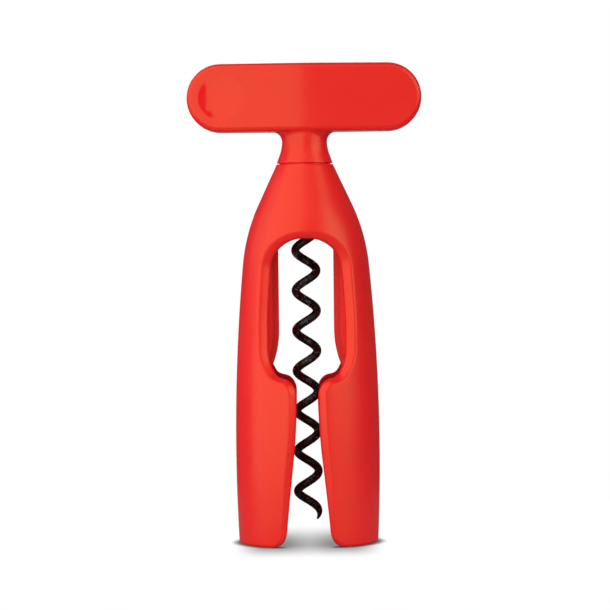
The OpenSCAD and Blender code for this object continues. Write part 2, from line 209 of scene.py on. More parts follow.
def coatedWire(name, look):
    # sprayed non-stick coat: orange peel, with small grey flecks
    material, tree, shader = startMaterial(name)
    coords = tree.nodes.new("ShaderNodeTexCoord").outputs["Object"]
    peel = addNoise(tree, coords, detail=3.0, roughness=0.6)
    peel.inputs["Scale"].default_value = look["peelScale"]
    speck = addNoise(tree, coords, detail=2.0)
    speck.inputs["Scale"].default_value = look["speckScale"]
    fleck = remap(tree, speck.outputs["Fac"], *look["fleckRange"], 0, 1)
    tree.links.new(mixColours(tree, fleck, look["dark"], look["light"]), shader.inputs["Base Color"])
    rough = remap(tree, peel.outputs["Fac"], *noiseSpan, *look["roughness"])
    tree.links.new(rough, shader.inputs["Roughness"])
    normal = addBump(tree, peel.outputs["Fac"], look["peelDepth"], bumpHeight["coat"])
    tree.links.new(normal, shader.inputs["Normal"])
    shader.inputs["Specular IOR Level"].default_value = look["specular"]
    return material


redLook = {
    "dark": (0.89, 0.0115, 0.0165), "light": (0.925, 0.0135, 0.0185), "roughness": (0.27, 0.37),
    "grainScale": 2200.0, "waveScale": 45.0, "grainDepth": 0.05, "specular": 0.51,
    "tint": (1.0, 1.0, 0.41)}
redPlastic = mouldedPlastic("redPlastic", redLook)
# painted light: the ribs get a lighter, bluer copy of the red, standing in for brighter light inside the
# legs; it is also rougher and less glossy
ribPaintedLightPlastic = mouldedPlastic("ribPaintedLightPlastic", {
    **redLook, "dark": (0.92, 0.021, 0.025), "light": (0.95, 0.025, 0.030), "roughness": (0.40, 0.50),
    "grainDepth": 0.1, "specular": 0.2})
bushPlastic = mouldedPlastic("bushPlastic", {
    "dark": (0.66, 0.62, 0.52), "light": (0.74, 0.71, 0.62), "roughness": (0.38, 0.5),
    "grainScale": 1500.0, "waveScale": 120.0, "grainDepth": 0.1, "specular": 0.5})
spindlePlastic = mouldedPlastic("spindlePlastic", {
    "dark": (0.012, 0.012, 0.013), "light": (0.022, 0.022, 0.022), "roughness": (0.45, 0.6),
    "grainScale": 1300.0, "waveScale": 150.0, "grainDepth": 0.2, "specular": 0.5})
washerSteel = brushedSteel("washerSteel", {
    "dark": (0.46, 0.47, 0.48), "light": (0.62, 0.63, 0.64), "roughness": (0.25, 0.4), "grainScale": 900.0})
springSteel = brushedSteel("springSteel", {
    "dark": (0.10, 0.10, 0.105), "light": (0.17, 0.17, 0.175), "roughness": (0.3, 0.45),
    "grainScale": 1100.0})
blackCoat = coatedWire("blackCoat", {
    "dark": (0.004, 0.0035, 0.0035), "light": (0.15, 0.19, 0.2), "roughness": (0.17, 0.42),
    "peelScale": 1500.0, "speckScale": 1000.0, "fleckRange": (0.6, 0.72), "peelDepth": 0.6,
    "specular": 0.5})
print("materials: made")


# Mesh helpers

def extrudeChain(bm, chain, closed=False):
    ends = chain[1:] + chain[:1] if closed else chain[1:]
    edges = [bm.edges.get(pair) for pair in zip(chain, ends)]
    made = bmesh.ops.extrude_edge_only(bm, edges=edges)["geom"]
    new = {part for part in made if isinstance(part, bmesh.types.BMVert)}
    return [next(e.other_vert(v) for e in v.link_edges if e.other_vert(v) in new) for v in chain]


def bevelSharp(bm, width, segments, angle=50):
    sharp = [e for e in bm.edges if e.is_manifold and e.calc_face_angle(0) > math.radians(angle)]
    bmesh.ops.bevel(bm, geom=sharp, offset=width, offset_type="OFFSET", segments=segments,
                    profile=0.5, affect="EDGES", material=-1, clamp_overlap=True)


def makePiece(name, bm, material, body):
    bmesh.ops.scale(bm, vec=(mm, mm, mm), verts=bm.verts)
    mesh = bpy.data.meshes.new(name)
    bm.to_mesh(mesh)
    bm.free()
    for face in mesh.polygons:
        face.use_smooth = True
    mesh.materials.append(material)
    piece = bpy.data.objects.new(name, mesh)
    bpy.context.scene.collection.objects.link(piece)
    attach(piece, body)
    return piece


# Bell body

bell = {
    "neckRadius": 10.3, "coneAngle": 25.0, "shoulderArc": 67.0, "sideArc": 690.0,
    "bellyRadius": 26.3, "bellyHeight": 35.0, "wall": 3.8, "pocketDrop": 11.9,
    "crownDrop": 27.1, "archHalf": 12.0, "archRound": 11.2,
    "windowHalf": 13.95, "windowWide": 83.5, "windowBend": 150.0, "windowClose": 67.9, "closeRound": 17.0,
    "ledgeHalf": 11.05, "ledgeHeight": 61.7, "ledgeFall": 2.75, "ledgeRound": 4.5, "legCorner": 6.0,
    "slotHalf": 3.9, "slotNeck": 43.3, "slotBend": 200.0, "slotFoot": 8.4, "footCorner": 6.5,
    "rimRound": 2.4, "cornerRound": 1.7, "footRound": 0.9, "fadeTop": 30.0, "fadeLength": 25.0,
    "rimFlat": 2.4, "rimGuard": 0.3, "rimSteps": 16, "rimRounds": 12, "innerBevel": 0.35, "mergeGap": 0.002,
    "rowsAbove": 24, "rowsRim": 180, "columns": 26, "footSteps": 40, "relaxSteps": 500,
    "evenShare": 0.6, "flatRadius": 25.0, "nudge": 0.01, "sideFrom": 0.5, "sideSpan": 0.5,
}
bellTop = heights("bell_body")[1]
cone = math.radians(bell["coneAngle"])
coneIn = Vector((-math.cos(cone), -math.sin(cone)))
coneDown = Vector((math.sin(cone), -math.cos(cone)))
sideCentre = Vector((bell["bellyRadius"] - bell["sideArc"], bell["bellyHeight"]))
fromSide = Vector((bell["neckRadius"], bellTop)) + coneIn * bell["shoulderArc"] - sideCentre
along = fromSide.dot(coneDown)
reach = math.sqrt(along ** 2 - fromSide.length_squared + (bell["sideArc"] - bell["shoulderArc"]) ** 2)
shoulderCentre = sideCentre + fromSide + (reach - along) * coneDown
coneFoot = (shoulderCentre - coneIn * bell["shoulderArc"]).y
sideTop = (sideCentre + (shoulderCentre - sideCentre).normalized() * bell["sideArc"]).y


def bellRadius(z):
    if z > coneFoot:
        return bell["neckRadius"] + (bellTop - z) * math.tan(cone)
    centre, arc = (shoulderCentre, bell["shoulderArc"]) if z > sideTop else (sideCentre, bell["sideArc"])
    return centre.x + math.sqrt(arc ** 2 - (z - centre.y) ** 2)


def onBell(a, z, inset=0):
    # a is the way round from the front, as an arc at flatRadius
    turn = a / bell["flatRadius"]
    r = bellRadius(z) - inset
    return Vector((r * math.sin(turn), -r * math.cos(turn), z))


def flatPlace(x, z, inset=0):
    return Vector((bell["flatRadius"] * math.asin(min(x / (bellRadius(z) - inset), 1)), z))


def roundedLine(corners, steps=16):
    line = [Vector(corners[0][:2])]
    for before, here, after in zip(corners, corners[1:], corners[2:]):
        corner = Vector(here[:2])
        back = (Vector(before[:2]) - corner).normalized()
        on = (Vector(after[:2]) - corner).normalized()
        half = back.angle(on) / 2
        centre = corner + (back + on).normalized() * here[2] / math.sin(half)
        start = corner + back * here[2] / math.tan(half) - centre
        end = corner + on * here[2] / math.tan(half) - centre
        sweep = math.atan2(start.cross(end), start.dot(end))
        line += [centre + Matrix.Rotation(sweep * k / steps, 2) @ start for k in range(steps + 1)]
    return line + [Vector(corners[-1][:2])]


def evenPoints(line, count):
    lengths = np.cumsum([0] + [(q - p).length for p, q in zip(line, line[1:])])
    wanted = np.linspace(0, lengths[-1], count + 1)
    columns = [np.interp(wanted, lengths, [p[k] for p in line]) for k in (0, 1)]
    return [Vector(p) for p in zip(*columns)]


def rimLines():
    # sharp edge of window, slot and foot, unrolled, in two lines that meet halfway round the foot's corner
    crown = bellTop - bell["crownDrop"]
    arcSteps = 16
    outline = roundedLine([
        (0, crown),
        (bell["archHalf"], crown, bell["archRound"]),
        (bell["windowHalf"], bell["windowWide"], bell["windowBend"]),
        (bell["windowHalf"], bell["windowClose"], bell["closeRound"]),
        (bell["ledgeHalf"], bell["ledgeHeight"], bell["ledgeRound"]),
        (bell["slotHalf"], bell["ledgeHeight"] - bell["ledgeFall"], bell["legCorner"]),
        (bell["slotHalf"], bell["slotNeck"], bell["slotBend"]),
        (bell["slotFoot"], 0, bell["footCorner"]),
        (bell["bellyRadius"] / 2 + bell["footCorner"], 0)], arcSteps)[:-1]
    window = [flatPlace(*p) for p in outline]
    middle = len(window) - 1 - arcSteps // 2
    side = bell["flatRadius"] * math.pi / 2
    steps = bell["footSteps"]
    foot = [Vector((window[-1].x + (side - window[-1].x) * k / steps, 0)) for k in range(1, steps + 1)]
    down = evenPoints(window[:middle + 1], bell["rowsRim"])
    return down, evenPoints(window[middle:] + foot, bell["columns"])


def rimProfile(places, k):
    # lip at one point of the rim, flat with round edges: where it leaves the skin, its line and its inner end
    place = places[k]
    before, after = places[max(k - 1, 0)], places[min(k + 1, len(places) - 1)]
    tangent = (after - before).normalized()
    if k in (0, len(places) - 1):
        tangent = Vector((1, 0))  # square to the planes of symmetry
    normal = Vector((-tangent.y, tangent.x))
    low = place.y < bell["ledgeHeight"] / 2
    lip = bell["rimRound"]
    if low:
        lip += (bell["cornerRound"] - lip) * ease((bell["fadeTop"] - place.y) / bell["fadeLength"])
        lip += (bell["footRound"] - lip) * ease(tangent.x)
    fromFront = place.x / bell["flatRadius"]
    sideShare = ease((fromFront - bell["sideFrom"]) / bell["sideSpan"]) if low else 0

    def axes(a, z):
        turn = a / bell["flatRadius"]
        nudge = bell["nudge"]
        slope = (bellRadius(z + nudge) - bellRadius(z - nudge)) / (2 * nudge)
        around = Vector((math.cos(turn), math.sin(turn), 0))
        up = Vector((slope * math.sin(turn), -slope * math.cos(turn), 1))
        return around * bellRadius(z) / bell["flatRadius"], up, around.cross(up).normalized()

    around, up, out = axes(*place)
    into = normal.x * around + normal.y * up
    stretch = into.length
    towards = -into.normalized()
    edge = out.cross(towards)
    wallWay = Vector((0, 1, 0))
    wallWay = (wallWay - edge * wallWay.dot(edge)).normalized().lerp(-out, sideShare).normalized()
    away = (towards - wallWay * towards.dot(wallWay)).normalized()
    reachIn = lip
    for _ in range(bell["rimRounds"]):
        # the lip touches the skin at its start and the wall at its end
        start = place + normal * reachIn / stretch
        out = axes(*start)[2]
        centre = onBell(*start) - out * lip
        reachIn += (centre - onBell(*place)).dot(away) + lip
    first, end = onBell(*start), centre + lip * away
    sweep = out.angle(away)
    side = (away - out * math.cos(sweep)) / math.sin(sweep)
    reached, line = Vector((0, 0, 0)), []
    for j in range(bell["rimSteps"]):
        u = 2 * (j + 0.5) / bell["rimSteps"] - 1
        turned = sweep * (1 + math.copysign(abs(u) ** bell["rimFlat"], u)) / 2
        reached = reached + side * math.cos(turned) - out * math.sin(turned)
        line.append(reached)
    arc = [first] + [first + p * (end - first).length / reached.length for p in line]
    start = start + normal * bell["rimGuard"] / stretch
    flatWay = Vector((wallWay.x, wallWay.y)).normalized()
    flatEnd = Vector((end.x, end.y))
    inner = bellRadius(end.z) - bell["wall"]
    b = flatEnd.dot(flatWay)
    run = -b - math.sqrt(max(b * b - flatEnd.length_squared + inner * inner, 0))
    seat = flatEnd + flatWay * run
    return start, arc, Vector((seat.x, seat.y, end.z))


def skinPatch(bm, left, right, top, bottom, inset):
    # a grid between four lines, relaxed flat and then wrapped on the bell
    rows, columns = len(left) - 1, len(top) - 1
    grid = bmesh.ops.create_grid(bm, x_segments=columns, y_segments=rows, size=1)["verts"]
    table = [grid[i * (columns + 1):(i + 1) * (columns + 1)] for i in range(rows + 1)]
    for i, row in enumerate(table):
        v = i / rows
        for j, vert in enumerate(row):
            u = j / columns
            corners = (1 - u) * (1 - v) * left[0] + u * (1 - v) * right[0]
            corners += (1 - u) * v * left[-1] + u * v * right[-1]
            place = (1 - u) * left[i] + u * right[i] + (1 - v) * top[j] + v * bottom[j] - corners
            vert.co = (place.x, place.y, 0)
    inside = [vert for row in table[1:-1] for vert in row[1:-1]]
    for _ in range(bell["relaxSteps"]):
        bmesh.ops.smooth_vert(bm, verts=inside, factor=0.5, use_axis_x=True, use_axis_y=True)
    for row in table:
        for vert in row:
            vert.co = onBell(vert.co.x, vert.co.y, inset)
    return table


def sideLine(left, foot):
    # heights on the side's middle line: between even steps and the heights of the row's other end
    steps = np.cumsum([0] + [(q - p).length for p, q in zip(left, left[1:])])
    top, bottom = left[0].y, foot
    even = top + (bottom - top) * steps / steps[-1]
    drop = np.array([p.y for p in left])
    drop = top + (bottom - top) * (top - np.minimum.accumulate(drop)) / (top - drop.min())
    side = bell["flatRadius"] * math.pi / 2
    share = bell["evenShare"]
    return [Vector((side, share * a + (1 - share) * b)) for a, b in zip(even, drop)]


def makeBell():
    bm = bmesh.new()
    down, foot = rimLines()
    places = down + foot[1:]
    profiles = [rimProfile(places, k) for k in range(len(places))]
    starts = [p[0] for p in profiles]
    seats = [flatPlace(p[2].x, p[2].z, bell["wall"]) for p in profiles]
    side = bell["flatRadius"] * math.pi / 2
    corner = len(down) - 1

    def skin(line, top, inset):
        rows = bell["rowsAbove"]
        above = [Vector((0, top + (line[0].y - top) * k / rows)) for k in range(rows)]
        left = above + line[:corner + 1]
        topLine = [Vector((side * j / bell["columns"], top)) for j in range(bell["columns"] + 1)]
        table = skinPatch(bm, left, sideLine(left, line[-1].y), topLine, line[corner:], inset)
        return [row[0] for row in table[rows:]] + table[-1][1:]

    chain = skin(starts, bellTop, 0)
    for step in range(bell["rimSteps"] + 2):
        chain = extrudeChain(bm, chain)
        for vert, (start, arc, seat) in zip(chain, profiles):
            vert.co = arc[step] if step < len(arc) else seat
    skin(seats, bellTop - bell["pocketDrop"], bell["wall"])
    bmesh.ops.remove_doubles(bm, verts=bm.verts, dist=bell["mergeGap"])
    for axis in "XY":
        everything = bm.verts[:] + bm.edges[:] + bm.faces[:]
        bmesh.ops.mirror(bm, geom=everything, matrix=Matrix.Identity(4), axis=axis,
                         merge_dist=bell["mergeGap"])
    addNeckBore(bm)
    bmesh.ops.remove_doubles(bm, verts=bm.verts, dist=bell["mergeGap"])
    bmesh.ops.recalc_face_normals(bm, faces=bm.faces)
    bevelSharp(bm, bell["innerBevel"], segments=2)
    return bm


neckBore = {
    "boreRadius": 7.45, "tubeRadius": 9.89, "seatClearance": 0.04, "flangeSeat": 1.2, "nearTop": 0.001,
}


def addNeckBore(bm):
    # from the edge of the neck in to the flange's seat, down the bore and up round the tube
    bushLow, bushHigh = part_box("neck_bush")
    flange = bushHigh.x / mm + neckBore["seatClearance"]
    bore = neckBore["boreRadius"] + neckBore["seatClearance"]
    seat = bellTop - neckBore["flangeSeat"]
    bearing = bushLow.z / mm
    pocket = bellTop - bell["pocketDrop"]
    rings = [(flange, bellTop), (flange, seat), (bore, seat), (bore, bearing),
             (neckBore["tubeRadius"], bearing), (neckBore["tubeRadius"], pocket),
             (bellRadius(pocket) - bell["wall"], pocket)]
    top = [v for v in bm.verts if v.is_boundary and abs(v.co.z - bellTop) < neckBore["nearTop"]]
    chain = sorted(top, key=lambda v: math.atan2(v.co.y, v.co.x))
    for radius, z in rings:
        chain = extrudeChain(bm, chain, closed=True)
        for vert in chain:
            flat = Vector((vert.co.x, vert.co.y)).normalized() * radius
            vert.co = (flat.x, flat.y, z)


bellShell = makePiece("bell_shell", makeBell(), redPlastic, "bell")
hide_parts("bell_body")
print("bell:", len(bellShell.data.polygons), "faces")


# Ribs inside the legs

ribs = {
    "thickness": 2.4, "pitch": 5.6, "sideBack": 2.2, "embed": 1.2, "edge": 0.6,
    "bottleRadius": 15.75, "bottleStop": 58.0, "bottleLead": 2.5,
    "gripAt": 10.05, "leadAt": 13.1, "leadStart": 5.5, "leadHeight": 14.3, "leadSteps": 12,
    "outerSteps": 24, "tubeEmbed": 1.0, "roofEmbed": 0.5,
}


def makeRib(offset):
    back = ribs["sideBack"] * abs(offset) / ribs["pitch"]
    bearing = heights("neck_bush")[0]
    roof = bellTop - bell["pocketDrop"] + ribs["roofEmbed"]
    leadTop = ribs["bottleStop"] + ribs["leadStart"] + ribs["leadHeight"]
    leadWidth = ribs["leadAt"] - ribs["gripAt"]
    leadArc = (ribs["leadHeight"] ** 2 + leadWidth ** 2) / (2 * leadWidth)
    leadTurn = math.asin(ribs["leadHeight"] / leadArc)
    outerY = abs(offset) + ribs["thickness"] / 2
    bottle = math.sqrt(ribs["bottleRadius"] ** 2 - offset ** 2)
    tube = math.sqrt((neckBore["tubeRadius"] - ribs["tubeEmbed"]) ** 2 - offset ** 2)
    outline = [
        (bottle + ribs["bottleLead"], ribs["bottleLead"]), (bottle, 2 * ribs["bottleLead"]),
        (bottle, ribs["bottleStop"]), (ribs["leadAt"] + back, ribs["bottleStop"])]
    for k in range(ribs["leadSteps"], -1, -1):
        t = leadTurn * k / ribs["leadSteps"]
        outline.append((ribs["gripAt"] + back + leadArc * (1 - math.cos(t)), leadTop - leadArc * math.sin(t)))
    outline += [(ribs["gripAt"] + back, bearing), (tube, bearing), (tube, roof)]
    for k in range(ribs["outerSteps"] + 1):
        z = roof + (ribs["bottleLead"] - roof) * k / ribs["outerSteps"]
        r = bellRadius(z) - bell["wall"] + ribs["embed"]
        outline.append((math.sqrt(r * r - outerY ** 2), z))
    bm = bmesh.new()
    front = offset - ribs["thickness"] / 2
    face = bm.faces.new([bm.verts.new((x, front, z)) for x, z in outline])
    made = bmesh.ops.extrude_face_region(bm, geom=[face])["geom"]
    moved = [v for v in made if isinstance(v, bmesh.types.BMVert)]
    bmesh.ops.translate(bm, vec=(0, ribs["thickness"], 0), verts=moved)
    bmesh.ops.recalc_face_normals(bm, faces=bm.faces)
    bevelSharp(bm, ribs["edge"], segments=3, angle=30)
    return bm


for sideName, mirrored in (("right", False), ("left", True)):
    for ribName, offset in (("front", -ribs["pitch"]), ("middle", 0), ("back", ribs["pitch"])):
        ribMesh = makeRib(offset)
        if mirrored:
            bmesh.ops.scale(ribMesh, vec=(-1, 1, 1), verts=ribMesh.verts)
            bmesh.ops.reverse_faces(ribMesh, faces=ribMesh.faces)
        makePiece(f"rib_{sideName}_{ribName}", ribMesh, ribPaintedLightPlastic, "bell")
print("ribs: made")


# Handle

handle = {
    "length": 85.6, "height": 24.75, "middle": 19.0, "slope": 0.1, "ridge": 3.6, "edgeRound": 2.0,
    "dishRadius": 8.3, "dishDepth": 0.7, "dishRim": 0.06,
    "footRadius": 10.2, "waistRadius": 8.2, "coneHeight": 5.5, "coneBlend": 0.9, "stemTop": 3.0,
    "blend": 4.2, "frontBlend": 0.7, "nearAxis": 0.01,
    "wall": 2.2, "seam": 0.22, "seamAngle": 60, "cutGap": 0.02,
    "fieldShare": 0.85, "fieldsAside": 5, "fieldsHigh": 6, "facingDown": -0.9,
    "stemDrops": (3, 7), "stemOver": 3,
    "subdivide": 4, "settleSteps": 14, "settleNudge": 0.005, "leastSlope": 0.2,
}
barBottom = heights("handle_front_shell")[1] - handle["height"]
stemBottom = heights("handle_front_shell")[0]
barMiddle = barBottom + handle["height"] / 2
barEnd = handle["length"] / 2 - handle["height"] / 2


def barHalf(x):
    ridge = handle["ridge"]
    return handle["middle"] / 2 - handle["slope"] * (np.sqrt(x * x + ridge * ridge) - ridge)


def roundMeet(a, b, r):
    # rounded edge where two faces meet
    return np.hypot(np.maximum(a + r, 0), np.maximum(b + r, 0)) - r + np.minimum(np.maximum(a + r, b + r), 0)


def softMin(a, b, k):
    h = np.maximum(k - np.abs(a - b), 0) / k
    return np.minimum(a, b) - h * h * k / 4


def handleField(p):
    # below zero inside the handle, above zero outside it
    x, y, z = p[:, 0], p[:, 1], p[:, 2]
    outline = np.hypot(np.maximum(np.abs(x) - barEnd, 0), z - barMiddle) - handle["height"] / 2
    bar = roundMeet(outline, np.abs(y) - barHalf(x), handle["edgeRound"])
    ball = (handle["dishRadius"] ** 2 + handle["dishDepth"] ** 2) / (2 * handle["dishDepth"])
    tilt = math.atan(handle["slope"])
    out = ball - handle["dishDepth"]
    for way in (-1, 1):
        cx = way * (barEnd + out * math.sin(tilt))
        cy = way * (barHalf(np.float64(barEnd)) + out * math.cos(tilt))
        dish = np.sqrt((x - cx) ** 2 + (y - cy) ** 2 + (z - barMiddle) ** 2) - ball
        bar = -softMin(-bar, dish, handle["dishRim"])
    waist = stemBottom + handle["coneHeight"]
    flare = (handle["footRadius"] - handle["waistRadius"]) / handle["coneHeight"]
    coned = handle["waistRadius"] + flare * (waist - z)
    radius = -softMin(-coned, np.full_like(z, -handle["waistRadius"]), handle["coneBlend"])
    stem = (np.hypot(x, y) - radius) * math.cos(math.atan(flare))
    stem = np.maximum(stem, z - barBottom - handle["stemTop"])
    # the hollow under the bar is wide at both sides and narrow at the front, where the face stays flat
    sided = x * x / np.maximum(x * x + y * y, handle["nearAxis"])
    return softMin(bar, stem, handle["frontBlend"] + (handle["blend"] - handle["frontBlend"]) * sided)


def settle(mesh):
    places = np.empty(len(mesh.vertices) * 3)
    mesh.vertices.foreach_get("co", places)
    places = places.reshape(-1, 3)
    step = handle["settleNudge"]
    for _ in range(handle["settleSteps"]):
        value = handleField(places)
        slope = np.stack([(handleField(places + d) - handleField(places - d)) / (2 * step)
                          for d in np.eye(3) * step], axis=1)
        steepness = np.maximum((slope ** 2).sum(axis=1), handle["leastSlope"])
        places -= slope * (value / steepness)[:, None]
    mesh.vertices.foreach_set("co", places.ravel())


def handleCage():
    # a block for the bar, cut into even fields, with the stem drawn out of its underside
    bm = bmesh.new()
    bmesh.ops.create_cube(bm, size=1)
    size = (handle["length"], handle["middle"], handle["height"])
    bmesh.ops.scale(bm, vec=size, verts=bm.verts)
    bmesh.ops.translate(bm, vec=(0, 0, barMiddle), verts=bm.verts)
    stemHalf = handle["waistRadius"] * handle["fieldShare"]
    aside = handle["fieldsAside"]
    cutsX = [k * stemHalf for k in range(-aside, aside + 1)]
    cutsZ = [barMiddle + k * handle["height"] / handle["fieldsHigh"] for k in (-1, 1)]
    planes = [((x, 0, 0), (1, 0, 0)) for x in cutsX] + [((0, 0, z), (0, 0, 1)) for z in cutsZ]
    for place, normal in planes + [((0, 0, 0), (0, 1, 0))]:
        geom = bm.verts[:] + bm.edges[:] + bm.faces[:]
        bmesh.ops.bisect_plane(bm, geom=geom, plane_co=place, plane_no=normal)
    under = [f for f in bm.faces
             if f.normal.z < handle["facingDown"] and abs(f.calc_center_median().x) < stemHalf]
    for z in [barBottom - drop for drop in handle["stemDrops"]] + [stemBottom - handle["stemOver"]]:
        made = bmesh.ops.extrude_face_region(bm, geom=under)["geom"]
        bmesh.ops.delete(bm, geom=under, context="FACES")
        under = [g for g in made if isinstance(g, bmesh.types.BMFace)]
        for vert in {v for f in under for v in f.verts}:
            vert.co.z = z
    bmesh.ops.delete(bm, geom=under, context="FACES")
    bmesh.ops.recalc_face_normals(bm, faces=bm.faces)
    return bm


def makeHandle():
    bm = handleCage()
    cage = bpy.data.meshes.new("handleCage")
    bm.to_mesh(cage)
    bm.free()
    holder = bpy.data.objects.new("handleCage", cage)
    bpy.context.scene.collection.objects.link(holder)
    smooth = holder.modifiers.new("smooth", "SUBSURF")
    smooth.levels = smooth.render_levels = handle["subdivide"]
    depsgraph = bpy.context.evaluated_depsgraph_get()
    mesh = bpy.data.meshes.new_from_object(holder.evaluated_get(depsgraph))
    bpy.data.objects.remove(holder)
    settle(mesh)
    return mesh


wholeHandle = makeHandle()
handlePlastic = mouldedPlastic("handlePlastic", {
    **redLook, "polish": {"centre": (barEnd * mm, 0, barMiddle * mm), "radius": handle["dishRadius"] * mm,
                          "edge": 0.1 * mm, "sideStep": 1e-6, "roughness": 0.08}})


def makeShell(name, front):
    bm = bmesh.new()
    bm.from_mesh(wholeHandle)
    cuts = (((0, 0, 0), (0, 1 if front else -1, 0)), ((0, 0, stemBottom), (0, 0, -1)))
    for place, normal in cuts:
        geom = bm.verts[:] + bm.edges[:] + bm.faces[:]
        bmesh.ops.bisect_plane(bm, geom=geom, dist=handle["cutGap"], plane_co=place, plane_no=normal,
                               clear_outer=True)
    piece = makePiece(name, bm, handlePlastic, "turning_handle")
    wall = piece.modifiers.new("wall", "SOLIDIFY")
    wall.thickness = handle["wall"] * mm
    wall.offset = -1
    wall.use_even_offset = False
    seam = piece.modifiers.new("seam", "BEVEL")
    seam.width = handle["seam"] * mm
    seam.segments = 2
    seam.limit_method = "ANGLE"
    seam.angle_limit = math.radians(handle["seamAngle"])
    return piece


frontShell = makeShell("front_shell", True)
rearShell = makeShell("rear_shell", False)
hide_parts("handle_front_shell")
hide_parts("handle_rear_shell")
print("handle:", len(frontShell.data.polygons) + len(rearShell.data.polygons), "faces")


# Worm

worm = {
    "wire": 3.04, "outer": 10.7, "pitch": 14.7, "runIn": 5.4, "sides": 20, "ringsPerTurn": 40,
    "taper": 95.0, "pointShare": 0.28, "pointLean": 0.3, "pointDrop": 0.85, "tipRise": 1.8,
    "nose": [(0.62, 0.75), (0.34, 0.93)],  # share of the radius, and of the way on to the round end
    "runInSteps": 16, "runInNudge": 0.01, "shankRise": 8,
}


def wormStations():
    # centre, way of the wire, a side direction and the wire's radius, from the point upwards
    wire = worm["wire"] / 2
    helix = worm["outer"] / 2 - wire
    rate = 2 * math.pi / worm["pitch"]
    top = heights("spindle")[0]
    runInAt = top - worm["runIn"]
    tip = heights("worm")[0] + worm["tipRise"]
    lastTurn = -rate * worm["runIn"] / 2
    turns = rate * (runInAt - tip)
    count = math.ceil(turns / (2 * math.pi) * worm["ringsPerTurn"])
    taper = math.radians(worm["taper"])
    stations = []
    for i in range(count + 1):
        turned = turns * i / count
        angle = lastTurn - turns + turned
        left = max(1 - turned / taper, 0)  # of the taper
        r = wire * (worm["pointShare"] + (1 - worm["pointShare"]) * math.cos(math.pi / 2 * left))
        centre = helix + (wire - r) * worm["pointLean"]
        side = Vector((math.cos(angle), math.sin(angle), 0))
        way = Vector((-helix * math.sin(angle), helix * math.cos(angle), 1 / rate)).normalized()
        z = tip + turned / rate - worm["pointDrop"] * left ** 2
        stations.append((side * centre + Vector((0, 0, z)), way, side, r))
    point, way, side, r = stations[0]
    nose = [(point - way * r * on, way, side, r * share) for share, on in worm["nose"][::-1]]
    stations = nose + stations

    def runIn(u):
        angle = rate * worm["runIn"] * (u - u * u / 2) + lastTurn
        side = Vector((math.cos(angle), math.sin(angle), 0))
        return side * helix * (1 - ease(u)) + Vector((0, 0, runInAt + worm["runIn"] * u)), side

    nudge = worm["runInNudge"]
    for i in range(1, worm["runInSteps"]):
        u = i / worm["runInSteps"]
        way = (runIn(u + nudge)[0] - runIn(u - nudge)[0]).normalized()
        stations.append((runIn(u)[0], way, runIn(u)[1], wire))
    for z in (top, top + worm["shankRise"]):
        stations.append((Vector((0, 0, z)), Vector((0, 0, 1)), Vector((1, 0, 0)), wire))
    return stations


def makeWorm():
    bm = bmesh.new()
    chain = bmesh.ops.create_circle(bm, segments=worm["sides"], radius=1)["verts"]
    for k, (centre, way, side, radius) in enumerate(wormStations()):
        if k:
            chain = extrudeChain(bm, chain, closed=True)
        side = (side - way * side.dot(way)).normalized()
        other = way.cross(side)
        for j, vert in enumerate(chain):
            a = 2 * math.pi * j / worm["sides"]
            vert.co = centre + radius * (math.cos(a) * side + math.sin(a) * other)
    bmesh.ops.holes_fill(bm, edges=[e for e in bm.edges if e.is_boundary], sides=worm["sides"])
    bmesh.ops.recalc_face_normals(bm, faces=bm.faces)
    return bm


wormPiece = makePiece("worm_wire", makeWorm(), blackCoat, "turning_handle")
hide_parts("worm")
print("worm:", len(wormPiece.data.polygons), "faces")


# Bearing pieces keep their solids and get a finish

bearingFinish = {
    "neck_bush": bushPlastic, "thrust_washer": redPlastic, "lower_washer": washerSteel,
    "retaining_ring": springSteel, "spindle": spindlePlastic,
}
for nodeName, material in bearingFinish.items():
    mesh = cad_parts[nodeName].data
    mesh.materials.clear()
    mesh.materials.append(material)
print("bearing: finished")


# Floor, light and camera

studio = {
    "photoSize": 610, "distancePixels": 2900.0, "millimetrePerPixel": 0.3661, "eyeHeight": 109.3,
    "aimHeight": 86.78, "aimSide": -0.49, "rollDegrees": 0.656, "sensor": 36.0,
    "worldStrength": 0.06, "floorRadius": 0.2, "floorSides": 96, "floorRoughness": 0.9,
    "floorColour": 0.8, "floorSeen": 0.1, "floorGlow": 0.97,
    "paintedContactReach": 0.008, "contactSamples": 32, "paintedContactSky": (0.5, 0.8), "paintedContactDark": 0.12,
    "paintedShadowAcross": (0.029, 0.015), "paintedShadowFront": (-0.062, -0.012), "paintedShadowBack": (0.072, -0.012),
    "paintedShadowDark": 0.23, "paintedShadowCentre": 0.73, "paintedShadowCentreSpan": 0.01,
    "lampDistance": 2.5, "backdropSpread": 10.0, "backdropSoft": 0.25,
    "mirroredShare": 0.1, "paintedReflectionGlow": 0.55,
    "paintedReflectionAcross": (-0.03, -0.045), "paintedReflectionFront": (-0.005, -0.025),
}


def openSky(tree, distance):
    sky = tree.nodes.new("ShaderNodeAmbientOcclusion")
    sky.samples = studio["contactSamples"]
    sky.inputs["Distance"].default_value = distance
    return sky.outputs["AO"]


